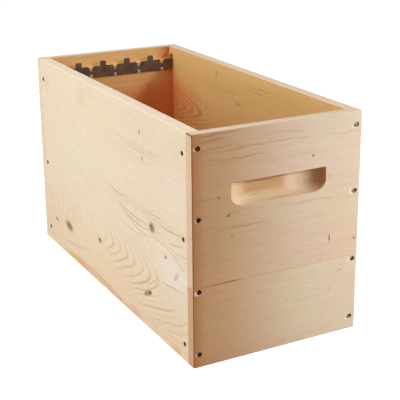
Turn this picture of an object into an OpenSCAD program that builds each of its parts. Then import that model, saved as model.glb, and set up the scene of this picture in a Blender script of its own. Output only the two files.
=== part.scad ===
// Nuc box for five deep bee frames: an open-topped pine box with rebated and nailed corners,
// a let-in floor, a handhold in each end and a notched metal strip that spaces the frames.
// Origin at the middle of the underside, +Z up, +Y along the box from the front end to the rear.

/* [Box] */
// Outside length, from the front end to the rear end
box_length = 511; // [440:1:600]
// Outside width across the two side boards
box_width = 234; // [190:1:420]
// Outside height, from the underside to the rim
box_height = 289; // [245:1:380]

/* [Boards] */
// Thickness of each long side board
side_thickness = 16; // [13:0.5:22]
// Thickness of the two boards that make up each end
end_thickness = 26; // [23:0.5:34]
// Thickness left of an end where its corner rebates and its frame rest are cut
lip_thickness = 13.5; // [10:0.5:15]
// Height of the glued seam between the lower and the upper board of each end
seam_height = 102; // [80:1:130]

/* [Frame rest] */
// Number of frames that hang side by side
frame_count = 5; // [3:1:6]
// Depth of the frame rest below the rim
rest_drop = 19; // [14:0.5:26]

/* [Frame spacer] */
// Thickness of the spacer's sheet metal
spacer_sheet = 1.2; // [0.8:0.1:2]
// Height of the spacer's strip, from its lower edge to the shoulders that carry the frames
strip_height = 18.5; // [16:0.5:24]
// Height of the shoulders above the frame rest
shoulder_rise = 2; // [0.5:0.5:4]
// Width of a tab between two frames
tab_width = 10; // [6:0.5:13]
// Height of a tab above the shoulders
tab_height = 7.5; // [4:0.5:9]
// Width of the notch under a frame, at the shoulders
notch_width = 8; // [5:0.5:10]
// Depth of the notch under a frame
notch_depth = 8; // [5:0.5:10]
// Gap between each end of the strip and the side board
strip_end_gap = 1.5; // [0.5:0.5:4]

/* [Handhold] */
// Width of the handhold at the face of the end
handhold_width = 132; // [110:1:150]
// Height of the handhold
handhold_height = 30; // [24:1:40]
// Depth of the handhold
handhold_depth = 15; // [10:0.5:18]
// Distance from the rim down to the handhold's upper edge
handhold_drop = 64; // [55:1:90]
// Radius of the cutter that sweeps out the handhold
cutter_radius = 52; // [44:1:60]
// Rounding of the cutter's lower edge
cutter_rounding = 13.5; // [8:0.5:18]

/* [Floor] */
// Thickness of the floor panel
floor_thickness = 12; // [8:0.5:16]
// Depth of the rebate that holds the floor's edge
floor_rebate = 8; // [7:0.5:9]
// Gap between the floor's edge and its rebate
floor_gap = 0.3; // [0.1:0.1:1]

/* [Nails] */
// Length of a box nail
nail_length = 45; // [36:1:55]
// Diameter of a box nail's shank
nail_shank = 2.8; // [2:0.1:3.4]
// Diameter of a box nail's head
nail_head = 5.6; // [4.6:0.1:6]
// Depth of a box nail's head below the face of the wood
nail_sink = 1.6; // [0.8:0.1:2.4]
// Length of a spacer nail
spacer_nail_length = 18; // [12:1:20]
// Diameter of a spacer nail's head
spacer_nail_head = 5; // [4.4:0.1:6]

/* [Hidden] */
$fn = 48;
inner_width = box_width - 2 * side_thickness;
inner_length = box_length - 2 * end_thickness;
rest_height = box_height - rest_drop;
cut_over = 1;

// Spacer strip, in heights above its own lower edge
frame_pitch = inner_width / frame_count;
strip_length = inner_width - 2 * strip_end_gap;
strip_base = rest_height + shoulder_rise - strip_height;
tab_chamfer = 1.5;
notch_root = 1.6;
nail_notch_width = 7;
nail_notch_depth = 5;
spacer_nail_rise = 3;
spacer_nail_shank = 1.8;
spacer_nail_head_height = 1.2;

// Handhold, swept by a cutter whose upright axis stays outside the end's face
cutter_standoff = cutter_radius - handhold_depth;
cutter_reach = sqrt(pow(cutter_radius, 2) - pow(cutter_standoff, 2));
cutter_travel = handhold_width - 2 * cutter_reach;

// Nails: room round a driven shank and a sunk head, and how far the rows stand from edges
head_height = 1.2;
shank_room = 0.05;
head_room = 0.3;
point_length = 4;
point_width = 0.8;
rim_nail_drop = 17;
floor_nail_rise = 5;
seam_nail_drop = 4.5;
tongue_nail_cover = 3;
side_low_rise = 10.5;
side_high_drop = [8, 10];
side_mid_share = [0.65, 0.31];
floor_nails_per_side = 4;
floor_nails_per_end = 2;

// Heights of the nails through an end's face into the side boards
face_mid_height = (seam_height + box_height - rim_nail_drop) / 2;
face_nail_heights = [
    floor_thickness + floor_nail_rise,
    seam_height - seam_nail_drop,
    face_mid_height,
    box_height - rim_nail_drop
];

// Heights of the nails through a side's face into the end, for the left and the right edge
function side_nail_heights(edge) = let (row = edge < 0 ? 0 : 1) [
    floor_thickness + side_low_rise,
    seam_height + side_mid_share[row] * (face_mid_height - seam_height),
    rest_height - side_high_drop[row]
];

// Places of count things shared out evenly over a span about its middle
function spread(count, span) = [for (i = [0 : count - 1]) (i + 0.5 - count / 2) * span / count];

// Stands an end up in the box: in its own frame the outer face is y = 0 and +Y points inward
module place_end(turn) {
    rotate([0, 0, turn])
        translate([0, -box_length / 2, 0])
            children();
}

// A box nail driven down from z = 0, with its head sunk below the face
module box_nail() {
    translate([0, 0, -nail_sink - head_height])
        cylinder(d = nail_head, h = head_height);
    translate([0, 0, -nail_sink - nail_length + point_length])
        cylinder(d = nail_shank, h = nail_length - point_length - head_height / 2);
    translate([0, 0, -nail_sink - nail_length])
        cylinder(d1 = point_width, d2 = nail_shank, h = point_length);
}

// The hole that a driven box nail leaves in the wood
module box_nail_hole() {
    translate([0, 0, -nail_sink - head_height])
        cylinder(d = nail_head + 2 * head_room, h = nail_sink + head_height + cut_over);
    translate([0, 0, -nail_sink - nail_length])
        cylinder(d = nail_shank + 2 * shank_room, h = nail_length);
}

// A spacer nail whose head bears on the strip at z = 0
module spacer_nail() {
    cylinder(d = spacer_nail_head, h = spacer_nail_head_height);
    translate([0, 0, -spacer_nail_length])
        cylinder(d = spacer_nail_shank, h = spacer_nail_length + spacer_nail_head_height / 2);
}

// The hole that a driven spacer nail leaves in the end
module spacer_nail_hole() {
    translate([0, 0, -spacer_nail_length])
        cylinder(d = spacer_nail_shank + 2 * shank_room, h = spacer_nail_length);
}

// Places the nails through an end's face along one edge (-1 left, 1 right), in the end's frame
module face_nail_row(edge) {
    for (height = face_nail_heights)
        translate([edge * (box_width - side_thickness) / 2, 0, height])
            rotate([90, 0, 0])
                children();
}

// Places the nails through a side's face into one edge of an end, in the end's frame
module side_nail_row(edge) {
    for (height = side_nail_heights(edge))
        translate([edge * box_width / 2, end_thickness - tongue_nail_cover, height])
            rotate([0, edge * 90, 0])
                children();
}

// Places the spacer's nails under the frames, in the end's frame
module spacer_nail_row() {
    for (centre = spread(frame_count, inner_width))
        translate([centre, end_thickness + spacer_sheet, strip_base + spacer_nail_rise])
            rotate([-90, 0, 0])
                children();
}

// Places the floor's nails into one end, in the end's frame
module floor_end_row() {
    for (across = spread(floor_nails_per_end, inner_width))
        translate([across, end_thickness - floor_rebate / 2, 0])
            rotate([180, 0, 0])
                children();
}

// Places the floor's nails into both side boards
module floor_side_rows() {
    for (edge = [-1, 1])
        for (along = spread(floor_nails_per_side, inner_length))
            translate([edge * (inner_width + floor_rebate) / 2, along, 0])
                rotate([180, 0, 0])
                    children();
}

// All the nail holes about one end's two corners, in the end's frame
module corner_nail_holes() {
    for (edge = [-1, 1]) {
        face_nail_row(edge) box_nail_hole();
        side_nail_row(edge) box_nail_hole();
    }
}

// The space cut out of the four walls for the floor
module floor_space() {
    floor_span = [inner_width + 2 * floor_rebate, inner_length + 2 * floor_rebate];
    translate([-floor_span[0] / 2, -floor_span[1] / 2, -cut_over])
        cube([floor_span[0], floor_span[1], floor_thickness + cut_over]);
}

// Half section of the handhold's cutter: radius against height, with its lower edge rounded
module cutter_section() {
    square([cutter_radius - cutter_rounding, handhold_height]);
    translate([0, cutter_rounding])
        square([cutter_radius, handhold_height - cutter_rounding]);
    intersection() {
        translate([cutter_radius - cutter_rounding, cutter_rounding])
            circle(r = cutter_rounding);
        square([cutter_radius, handhold_height]);
    }
}

// The space that the cutter sweeps along the end's face, in the end's frame
module handhold_space() {
    translate([0, -cutter_standoff, box_height - handhold_drop - handhold_height]) {
        for (edge = [-1, 1])
            translate([edge * cutter_travel / 2, 0, 0])
                rotate_extrude($fn = 96)
                    cutter_section();
        translate([-cutter_travel / 2, 0, 0])
            rotate([90, 0, 90])
                linear_extrude(cutter_travel)
                    cutter_section();
    }
}

// One whole end in its own frame: a lip as wide as the box and a tongue between the sides
module end_panel() {
    difference() {
        union() {
            translate([-box_width / 2, 0, 0])
                cube([box_width, lip_thickness, box_height]);
            translate([-inner_width / 2, 0, 0])
                cube([inner_width, end_thickness, rest_height]);
        }
        handhold_space();
        translate([0, box_length / 2, 0])
            floor_space();
        corner_nail_holes();
        spacer_nail_row() spacer_nail_hole();
        floor_end_row() box_nail_hole();
    }
}

// The part of an end between two heights, which is one of its glued boards
module end_board(low, high) {
    intersection() {
        end_panel();
        translate([-box_width, -cut_over, low])
            cube([2 * box_width, end_thickness + 2 * cut_over, high - low]);
    }
}

module end_lower_board() {
    color("#D6AE7D")
        end_board(0, seam_height);
}

module end_upper_board() {
    color("#DDBA8C")
        end_board(seam_height, box_height);
}

// A side board between the lips of the two ends (-1 left, 1 right)
module side_board(edge) {
    color("#EAD6B4")
        difference() {
            translate([
                edge * (box_width - side_thickness) / 2 - side_thickness / 2,
                lip_thickness - box_length / 2,
                0
            ])
                cube([side_thickness, box_length - 2 * lip_thickness, box_height]);
            floor_space();
            for (turn = [0, 180])
                place_end(turn) corner_nail_holes();
            floor_side_rows() box_nail_hole();
        }
}

module floor_panel() {
    floor_size = [
        inner_width + 2 * (floor_rebate - floor_gap),
        inner_length + 2 * (floor_rebate - floor_gap)
    ];
    color("#C9A06C")
        difference() {
            translate([-floor_size[0] / 2, -floor_size[1] / 2, 0])
                cube([floor_size[0], floor_size[1], floor_thickness]);
            for (turn = [0, 180])
                place_end(turn) floor_end_row() box_nail_hole();
            floor_side_rows() box_nail_hole();
        }
}

// Outline of one spacer tab, standing on the strip's lower edge
module tab_outline() {
    top = strip_height + tab_height;
    polygon([
        [-tab_width / 2, 0],
        [tab_width / 2, 0],
        [tab_width / 2, top - tab_chamfer],
        [tab_width / 2 - tab_chamfer, top],
        [tab_chamfer - tab_width / 2, top],
        [-tab_width / 2, top - tab_chamfer]
    ]);
}

// Outline of the two notches under a frame: one for bees to pass, one for the strip's nail
module notch_outline() {
    polygon([
        [-notch_width / 2, strip_height],
        [-notch_width / 2, strip_height + cut_over],
        [notch_width / 2, strip_height + cut_over],
        [notch_width / 2, strip_height],
        [notch_root / 2, strip_height - notch_depth],
        [-notch_root / 2, strip_height - notch_depth]
    ]);
    polygon([
        [-nail_notch_width / 2, 0],
        [-nail_notch_width / 2, -cut_over],
        [nail_notch_width / 2, -cut_over],
        [nail_notch_width / 2, 0],
        [spacer_nail_shank / 2, nail_notch_depth],
        [-spacer_nail_shank / 2, nail_notch_depth]
    ]);
}

// The whole strip's outline: tabs between the frames and half tabs at the side boards
module spacer_outline() {
    difference() {
        union() {
            translate([-strip_length / 2, 0])
                square([strip_length, strip_height]);
            intersection() {
                translate([-strip_length / 2, 0])
                    square([strip_length, strip_height + tab_height]);
                for (tab = [0 : frame_count])
                    translate([(tab - frame_count / 2) * frame_pitch, 0])
                        tab_outline();
            }
        }
        for (centre = spread(frame_count, inner_width))
            translate([centre, 0])
                notch_outline();
    }
}

module frame_spacer() {
    color("#5F4A40")
        translate([0, end_thickness + spacer_sheet, strip_base])
            rotate([90, 0, 0])
                linear_extrude(spacer_sheet)
                    spacer_outline();
}

module spacer_nails() {
    color("#C9C7C2")
        spacer_nail_row() spacer_nail();
}

module face_nails(edge) {
    color("#3A302A")
        face_nail_row(edge) box_nail();
}

module side_nails(edge) {
    color("#3A302A")
        side_nail_row(edge) box_nail();
}

module floor_nails() {
    color("#3A302A") {
        for (turn = [0, 180])
            place_end(turn) floor_end_row() box_nail();
        floor_side_rows() box_nail();
    }
}

place_end(0) end_lower_board();  // front_lower_board
place_end(0) end_upper_board();  // front_upper_board
place_end(180) end_lower_board();  // rear_lower_board
place_end(180) end_upper_board();  // rear_upper_board
side_board(-1);  // left_side_board
side_board(1);  // right_side_board
floor_panel();
place_end(0) frame_spacer();  // front_frame_spacer
place_end(180) frame_spacer();  // rear_frame_spacer
place_end(0) spacer_nails();  // front_spacer_nails
place_end(180) spacer_nails();  // rear_spacer_nails
place_end(0) face_nails(-1);  // front_face_left_nails
place_end(0) face_nails(1);  // front_face_right_nails
place_end(180) face_nails(1);  // rear_face_left_nails
place_end(180) face_nails(-1);  // rear_face_right_nails
place_end(0) side_nails(-1);  // left_side_front_nails
place_end(180) side_nails(1);  // left_side_rear_nails
place_end(0) side_nails(1);  // right_side_front_nails
place_end(180) side_nails(-1);  // right_side_rear_nails
floor_nails();
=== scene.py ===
"""Dresses the nuc box in bare pine, dark spacer strips and sunk nails, in a white studio."""

import logging
import math
from collections.abc import Mapping, Sequence
from dataclasses import dataclass, replace
from enum import Enum
from typing import Union

import bmesh
import bpy
from mathutils import Matrix, Vector


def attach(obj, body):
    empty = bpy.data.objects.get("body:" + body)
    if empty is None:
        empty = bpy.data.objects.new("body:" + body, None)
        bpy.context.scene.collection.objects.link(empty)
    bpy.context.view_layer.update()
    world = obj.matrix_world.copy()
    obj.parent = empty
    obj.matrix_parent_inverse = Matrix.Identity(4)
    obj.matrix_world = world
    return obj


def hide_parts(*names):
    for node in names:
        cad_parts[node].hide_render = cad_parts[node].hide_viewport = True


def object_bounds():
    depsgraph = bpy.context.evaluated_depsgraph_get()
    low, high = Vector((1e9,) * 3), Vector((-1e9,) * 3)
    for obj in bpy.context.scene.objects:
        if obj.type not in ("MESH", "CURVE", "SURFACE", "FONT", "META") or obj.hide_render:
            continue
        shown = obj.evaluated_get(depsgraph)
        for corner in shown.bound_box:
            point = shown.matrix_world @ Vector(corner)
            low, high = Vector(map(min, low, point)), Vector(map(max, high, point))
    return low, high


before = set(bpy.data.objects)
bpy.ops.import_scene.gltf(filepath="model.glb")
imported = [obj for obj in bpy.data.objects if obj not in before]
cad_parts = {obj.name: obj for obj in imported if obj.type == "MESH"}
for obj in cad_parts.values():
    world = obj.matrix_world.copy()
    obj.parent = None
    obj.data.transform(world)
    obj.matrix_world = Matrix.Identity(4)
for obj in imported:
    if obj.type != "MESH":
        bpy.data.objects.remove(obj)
CAD_LOW, CAD_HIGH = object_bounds()

LOG = logging.getLogger("nuc_box")
MM = 0.001
BODY = "root"
IMAGE_SIZE = 400
SAME_POINT = 0.002 * MM
FLAT_ANGLE = math.radians(0.4)
SHARP_ANGLE = math.radians(35)
EDGE_ANGLE = math.radians(40)
CORNER_ANGLE = math.radians(60)

Triple = tuple[float, float, float]
Colour = tuple[float, float, float, float]
Inputs = Mapping[str | int, object]
Value = Union["Wire", float]


def paint(*levels: int) -> Colour:
    """Turns red, green and blue screen levels, 0 to 255, into the linear colour that shaders take."""
    shares = [level / 255 for level in levels]
    return (*(s / 12.92 if s <= 0.04045 else ((s + 0.055) / 1.055) ** 2.4 for s in shares), 1.0)


class Wire:
    """An output of a node tree, with arithmetic that adds the nodes it stands for."""

    def __init__(self, bench: "Bench", socket: bpy.types.NodeSocket) -> None:
        """Holds the bench that builds the tree, and the output's socket."""
        self.bench = bench
        self.socket = socket

    def __add__(self, other: Value) -> "Wire":
        """Adds a value."""
        return self.bench.math("ADD", self, other)

    def __sub__(self, other: Value) -> "Wire":
        """Takes a value away."""
        return self.bench.math("SUBTRACT", self, other)

    def __rsub__(self, other: float) -> "Wire":
        """Takes this output away from a number."""
        return self.bench.math("SUBTRACT", other, self)

    def __mul__(self, other: Value) -> "Wire":
        """Multiplies by a value."""
        return self.bench.math("MULTIPLY", self, other)

    def __truediv__(self, other: float) -> "Wire":
        """Divides by a number."""
        return self.bench.math("DIVIDE", self, other)

    def smooth(self, start: float, end: float) -> "Wire":
        """Gives a share that rises smoothly from 0 at start to 1 at end."""
        window = {"Value": self, "From Min": start, "From Max": end}
        return self.bench.wire("ShaderNodeMapRange", window, interpolation_type="SMOOTHSTEP")


@dataclass(frozen=True)
class Noise:
    """A noise field: its waves in each metre on three axes, finer detail, and a window to cut it to."""

    scale: Triple
    detail: float = 2.0
    roughness: float = 0.5
    window: tuple[float, float] | None = None


class Flag(Enum):
    """Numbers that a dressed mesh holds for each face, so that its finish can tell faces apart."""

    END_GRAIN = "end_grain"
    INSIDE = "inside"
    RECESS = "recess"
    ARRIS = "arris"
    FRESH_CUT = "fresh_cut"
    RIM = "rim"


class Bench:
    """Adds nodes to one tree and joins them."""

    COLUMN = 180
    ROWS = 12
    BUMP = 0.6
    FIRST_COLOUR = 6
    SECOND_COLOUR = 7
    MIXED_COLOUR = 2

    def __init__(self, tree: bpy.types.NodeTree) -> None:
        """Empties the tree that the bench is to fill."""
        self.tree = tree
        self.tree.nodes.clear()

    def node(self, kind: str, inputs: Inputs | None = None, **settings: object) -> bpy.types.Node:
        """Adds one node, lays it out in columns and fills its inputs.

        Args:
            kind: the node's type name.
            inputs: wires or plain values for its inputs, by name or by place.
            settings: properties to set on the node.

        Returns:
            The new node.
        """
        place = len(self.tree.nodes)
        node = self.tree.nodes.new(kind)
        node.location = (self.COLUMN * (place // self.ROWS), -self.COLUMN * (place % self.ROWS))
        for name, value in settings.items():
            setattr(node, name, value)
        for key, value in (inputs or {}).items():
            if isinstance(value, Wire):
                self.tree.links.new(value.socket, node.inputs[key])
            else:
                node.inputs[key].default_value = value
        return node

    def wire(
        self, kind: str, inputs: Inputs | None = None, output: str | int = 0, **settings: object,
    ) -> Wire:
        """Adds one node and gives the output with a name or a place."""
        return Wire(self, self.node(kind, inputs, **settings).outputs[output])

    def math(self, operation: str, *values: Value) -> Wire:
        """Works out one number from its inputs in order."""
        return self.wire("ShaderNodeMath", dict(enumerate(values)), operation=operation)

    def vector(self, operation: str, *values: object) -> Wire:
        """Works out one vector, or a vector's length, from its inputs in order."""
        output = "Value" if operation == "LENGTH" else "Vector"
        return self.wire("ShaderNodeVectorMath", dict(enumerate(values)), output, operation=operation)

    def split(self, vector: Wire) -> list[Wire]:
        """Gives a vector's three parts."""
        return [Wire(self, part) for part in self.node("ShaderNodeSeparateXYZ", {0: vector}).outputs]

    def join(self, *parts: Value) -> Wire:
        """Makes a vector of its first parts, with noughts for the rest."""
        return self.wire("ShaderNodeCombineXYZ", dict(enumerate(parts)))

    def noise(self, field: Wire, noise: Noise) -> Wire:
        """Adds a noise field.

        Args:
            field: coordinates in metres.
            noise: the field's waves.

        Returns:
            A number from about -0.5 to 0.5, or a share from 0 to 1 where the noise has a window.
        """
        spread = self.vector("MULTIPLY", field, noise.scale)
        inputs = {"Vector": spread, "Scale": 1.0, "Detail": noise.detail, "Roughness": noise.roughness}
        level = self.wire("ShaderNodeTexNoise", inputs) - 0.5
        return level.smooth(*noise.window) if noise.window else level

    def mix(self, share: Value, first: object, second: object, blend: str = "MIX") -> Wire:
        """Lays a share of the second colour over the first."""
        inputs = {"Factor": share, self.FIRST_COLOUR: first, self.SECOND_COLOUR: second}
        return self.wire("ShaderNodeMix", inputs, self.MIXED_COLOUR, data_type="RGBA", blend_type=blend)

    def flag(self, flag: Flag) -> Wire:
        """Reads a number that the mesh holds for each face."""
        return self.wire("ShaderNodeAttribute", output="Fac", attribute_name=flag.value)

    def surface(self, inputs: Inputs, height: Wire, depth: float) -> None:
        """Ends the tree in a shader with a bumpy surface.

        Args:
            inputs: the shader's own inputs.
            height: bump height from 0 to 1.
            depth: how deep the bump is, in metres.
        """
        bump = self.wire("ShaderNodeBump", {"Strength": self.BUMP, "Distance": depth, "Height": height})
        shader = self.wire("ShaderNodeBsdfPrincipled", {**inputs, "Normal": bump})
        self.node("ShaderNodeOutputMaterial", {"Surface": shader})


def new_material(name: str) -> bpy.types.Material:
    """Makes a material whose nodes are still to be added.

    Args:
        name: the material's name.

    Returns:
        The material.
    """
    material = bpy.data.materials.new(name)
    material.use_nodes = True
    return material


class GrainRun(Enum):
    """The way a board's grain runs, with the axes along, across and through the board."""

    LENGTHWISE = (1, 2, 0)
    CROSSWISE = (0, 2, 1)
    LYING = (1, 0, 2)


class Way(Enum):
    """The way that a tint fades over a board."""

    ALONG = 0
    ACROSS = 1


class Faces(Enum):
    """The faces of a board that a tint or a mark reaches."""

    EVERY = "every"
    BROAD = "broad"
    INNER = "inner"
    HANDHOLD = "handhold"


class MarkKind(Enum):
    """What a mark in the wood is, with its colour."""

    KNOT = paint(164, 130, 98)
    RED_KNOT = paint(236, 128, 64)
    BROWN_KNOT = paint(168, 116, 70)
    SPECK = paint(106, 62, 30)
    STAIN = paint(222, 172, 118)
    WANE = paint(214, 162, 112)
    CRACK = paint(156, 84, 58)
    # Dark crushed fibres; round nails also painted shade in their holes.
    BRUISE_AND_SHADE = paint(84, 50, 24)
    # Pale frayed fibres; round nails also painted light on the lit side of each hole.
    TORN_AND_LIT = paint(246, 231, 210)
    LINE = paint(174, 120, 76)
    HALO = paint(212, 164, 122)
    # Painted shade: the dark red of a shadowed corner inside the box.
    PAINTED_RED_SHADE = paint(228, 136, 84)
    # Painted light: a pale tone for lit parts of the handhold.
    PAINTED_LIGHT = paint(250, 222, 190)
    BLEACH = paint(242, 228, 214)
    CHIP = paint(230, 168, 128)
    MOSS = paint(216, 186, 120)

    def at(self, *spots: Sequence[float], **shared: object) -> tuple["Mark", ...]:
        """Makes marks from their first fields in order, and further fields that all of them share."""
        return tuple(Mark(self, *spot, **shared) for spot in spots)


@dataclass(frozen=True)
class Mark:
    """A knot, speck, stained patch, line or patch of painted light or shade, placed along and across its
    board in millimetres.

    The tilt is in degrees. Sweep is how far the rings bend round it, wobble how far the grain's waves
    bend it, and sag how far its middle hangs below its ends.
    """

    kind: MarkKind
    along: float
    across: float
    half_length: float
    half_height: float
    tilt: float = 0.0
    strength: float = 1.0
    sweep: float = 0.0
    softness: float = 0.35
    faces: Faces = Faces.EVERY
    wobble: float = 0.0
    sag: float = 0.0


LINE_HALF_HEIGHT = 1.0
LINE_SOFTNESS = 0.6


def lines(*spots: Sequence[float], wobble: float = 8.0, sag: float = 0.0) -> tuple[Mark, ...]:
    """Makes faint broken lines, each from its middle along and across, half length, tilt and strength."""
    sizes = [(along, across, half, LINE_HALF_HEIGHT, *rest) for along, across, half, *rest in spots]
    return MarkKind.LINE.at(*sizes, softness=LINE_SOFTNESS, wobble=wobble, sag=sag)


@dataclass(frozen=True)
class Tint:
    """A slow change of colour from a bare place on a board to a full one, in millimetres."""

    faces: Faces
    way: Way
    bare: float
    full: float
    colour: Colour


@dataclass(frozen=True)
class Figure:
    """An oval of a board where its rings show clearly, placed in millimetres."""

    along: float
    across: float
    half_length: float
    half_height: float
    strength: float = 1.0


@dataclass(frozen=True)
class Grain:
    """How a board was cut from its log, in millimetres, and the marks that its faces show."""

    run: GrainRun
    heart_along: float
    heart_across: float
    ring_gap: float
    seed: float
    stretch: float = 0.0
    taper: float = 0.0
    bend_reach: float = 210.0
    squeeze: float = 0.0
    band: float = 0.55
    plain: float = 1.0
    contrast: float = 0.55
    lean: float = 0.6
    core: float = 6.0
    wander: float = 16.0
    wave: float = 6.0
    ripple: float = 2.0
    figures: tuple[Figure, ...] = ()
    marks: tuple[Mark, ...] = ()
    tints: tuple[Tint, ...] = ()


@dataclass(frozen=True)
class PineTones:
    """The colours of one board's wood, outside and inside the box."""

    early: Colour
    late: Colour
    blush: Colour
    end: Colour
    # Rim: the colour of the top faces, partly the planed edges' own tone, partly painted light falling on
    # them from above.
    rim: Colour
    # Inner colours are darker and more saturated than the outer ones: partly the wood's own colour inside
    # the box, partly painted shade and bounced light there.
    inner_early: Colour
    inner_late: Colour
    fresh: Colour = paint(255, 233, 198)
    # Nail holes: partly iron stain, partly painted shade inside the holes.
    hole_stain_and_shade: Colour = paint(88, 54, 30)
    sallow: Colour = paint(252, 254, 244)
    rosy: Colour = paint(255, 248, 246)


class PineBench(Bench):
    """Builds one board's wood: its noise is set in metres, its rings and marks in millimetres."""

    SEED_STEPS = (1.7, 2.3, 1.0)
    RAG = Noise((170, 260, 90), 3.0, 0.6)
    WAVES = Noise((16, 24, 24), 3.0)
    FIBRE = Noise((24, 520, 520), 3.0, 0.6)
    STREAK = Noise((4, 130, 130))
    BREAKS = Noise((30, 40, 40), window=(-0.22, 0.18))
    WANDER = Noise((2.5, 9, 9))
    WAVE = Noise((9, 24, 24))
    RIPPLE = Noise((42, 55, 55))
    DRIFT = Noise((0.9, 6, 6))
    PATCH = Noise((3, 12, 12), window=(-0.12, 0.2))
    BLOTCH = Noise((2.4, 7, 7), 1.0, window=(-0.22, 0.22))
    PORES = Noise((600, 900, 900))
    FLECK = Noise((50, 260, 260))
    DUCTS = Noise((70, 1500, 1500), 1.0, window=(0.1, 0.26))
    MOTTLE = Noise((7, 18, 18), 3.0, 0.6, window=(-0.16, 0.16))

    BUMP_DEPTH = 0.25 * MM
    FIBRE_HEIGHT = 0.8
    LATE_HEIGHT = 0.5
    GLOSS = 0.3
    ROUGHNESS = 0.64
    ROUGHNESS_RANGE = 0.16

    FAR_THROUGH = 1e6
    KNOT_RAG = 1.6
    BRUISE_AND_SHADE_RAG = 1.1
    PLAIN_RAG = 0.7

    BEND_START = 20.0
    SWEEP_FALL = -0.1
    DRIFT_RINGS = 2.2
    LATE_RISE = 0.38
    LATE_FALL = (0.93, 1.0)
    FLUTTER_SCALE = 0.9
    FLUTTER_WINDOW = (0.3, 0.7)
    FAINTEST_RING = 0.25
    FAINTEST_PATCH = 0.4
    FIGURE_FADE = (0.3, 1.5)

    RIM_SHARE = 0.8
    PORE_SHARE = 0.5
    END_SHARE = 0.85
    WORN_SHARE = 0.3
    CUT_SHARE = 0.95
    CUT_RINGS = 0.12
    FIBRE_SHADE = 0.15
    CUT_FIBRE_SHADE = 0.4
    STREAK_SHADE = 0.06
    FLECK_SHADE = 0.1
    DUCT_SHADE = 0.16

    HALO_FADE = (0.7, 2.3)
    HALO_SHARE = 0.3
    HEART_FADE = (0.6, 1.0)
    HEART_STREAKS = (-0.08, 0.1)
    HEART_SHARE = 0.9

    def __init__(self, tree: bpy.types.NodeTree, tones: PineTones, grain: Grain) -> None:
        """Sets out the coordinates along, across and through the board, and how far each mark is.

        Args:
            tree: the material's tree.
            tones: the wood's colours.
            grain: its rings, marks and tints.
        """
        super().__init__(tree)
        self.tones = tones
        self.grain = grain
        axes = self.split(self.wire("ShaderNodeTexCoord", output="Object"))
        place = self.join(*[axes[axis] for axis in grain.run.value])
        self.field = self.vector("ADD", place, [step * grain.seed for step in self.SEED_STEPS])
        self.spot = self.vector("MULTIPLY", place, (1 / MM, 1 / MM, 1 / MM))
        self.along, self.across, self.depth = self.split(self.spot)
        self.rag = self.wood(self.RAG)
        self.waves = self.wood(self.WAVES)
        self.reaches = [self._reach(mark) for mark in grain.marks]

    def wood(self, noise: Noise) -> Wire:
        """Adds a noise field on the board's own coordinates."""
        return self.noise(self.field, noise)

    def fill(self) -> None:
        """Draws the rings, lays tints and marks over the wood and ends the tree in a shader."""
        late = self._late_wood()
        fibre = self.wood(self.FIBRE)
        streak = self.wood(self.STREAK)
        inputs = {
            "Base Color": self._marked(self._tinted(self._colour(late, fibre, streak))),
            "Roughness": streak * self.ROUGHNESS_RANGE + self.ROUGHNESS,
            "Specular IOR Level": self.GLOSS,
        }
        height = fibre * self.FIBRE_HEIGHT + late * self.LATE_HEIGHT + streak
        self.surface(inputs, height, self.BUMP_DEPTH)

    def _reach(self, mark: Mark) -> Wire:
        """Measures how far a point lies from a mark, as a share of the mark's own size.

        Args:
            mark: the mark to measure from.

        Returns:
            0 at the mark's middle and 1 at its rim, with an uneven outline.
        """
        spot = self.spot
        if mark.wobble:
            spot = self.vector("ADD", spot, self.join(0.0, self.waves * mark.wobble))
        inputs = {
            "Vector": spot,
            "Location": (mark.along, mark.across, 0.0),
            "Rotation": (0.0, 0.0, math.radians(mark.tilt)),
            "Scale": (mark.half_length, mark.half_height, self.FAR_THROUGH),
        }
        local = self.wire("ShaderNodeMapping", inputs, vector_type="TEXTURE")
        if mark.sag:
            run, rise, _ = self.split(local)
            local = self.join(run, rise - run * run * (mark.sag / mark.half_height))
        ragged = self.BRUISE_AND_SHADE_RAG if mark.kind is MarkKind.BRUISE_AND_SHADE else self.PLAIN_RAG
        return self.vector("LENGTH", local) + self.rag * (self.KNOT_RAG if mark.sweep else ragged)

    def _late_wood(self) -> Wire:
        """Draws the growth rings, which bend round the heart and sweep round the knots.

        Returns:
            0 in early wood and 1 in the dark late wood.
        """
        grain = self.grain
        cross = self.across - grain.heart_across
        warps = ((self.WANDER, grain.wander), (self.WAVE, grain.wave), (self.RIPPLE, grain.ripple))
        for noise, amount in warps:
            cross = cross + self.wood(noise) * amount
        run = self.along - grain.heart_along
        swell = run * grain.stretch
        radius = self.math("SQRT", swell * swell + cross * cross + grain.core ** 2)
        bend = 1.0 - self.math("ABSOLUTE", cross).smooth(self.BEND_START, grain.bend_reach)
        radius = radius + self.depth * grain.lean - run * bend * grain.taper
        for mark, reach in zip(grain.marks, self.reaches):
            if mark.sweep:
                radius = radius + self.math("EXPONENT", reach * reach * self.SWEEP_FALL) * mark.sweep
        phase = radius / grain.ring_gap + self.wood(self.DRIFT) * self.DRIFT_RINGS
        phase = phase + cross * cross * grain.squeeze
        saw = self.math("FRACT", phase)
        late = saw.smooth(grain.band, grain.band + self.LATE_RISE) * (1.0 - saw.smooth(*self.LATE_FALL))
        count = {"W": phase + grain.seed, "Scale": self.FLUTTER_SCALE, "Detail": 1.0}
        flutter = self.wire("ShaderNodeTexNoise", count, noise_dimensions="1D")
        strong = flutter.smooth(*self.FLUTTER_WINDOW) * (1 - self.FAINTEST_RING) + self.FAINTEST_RING
        patch = self.wood(self.PATCH) * (1 - self.FAINTEST_PATCH) + self.FAINTEST_PATCH
        return late * patch * strong * self._figured()

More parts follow.
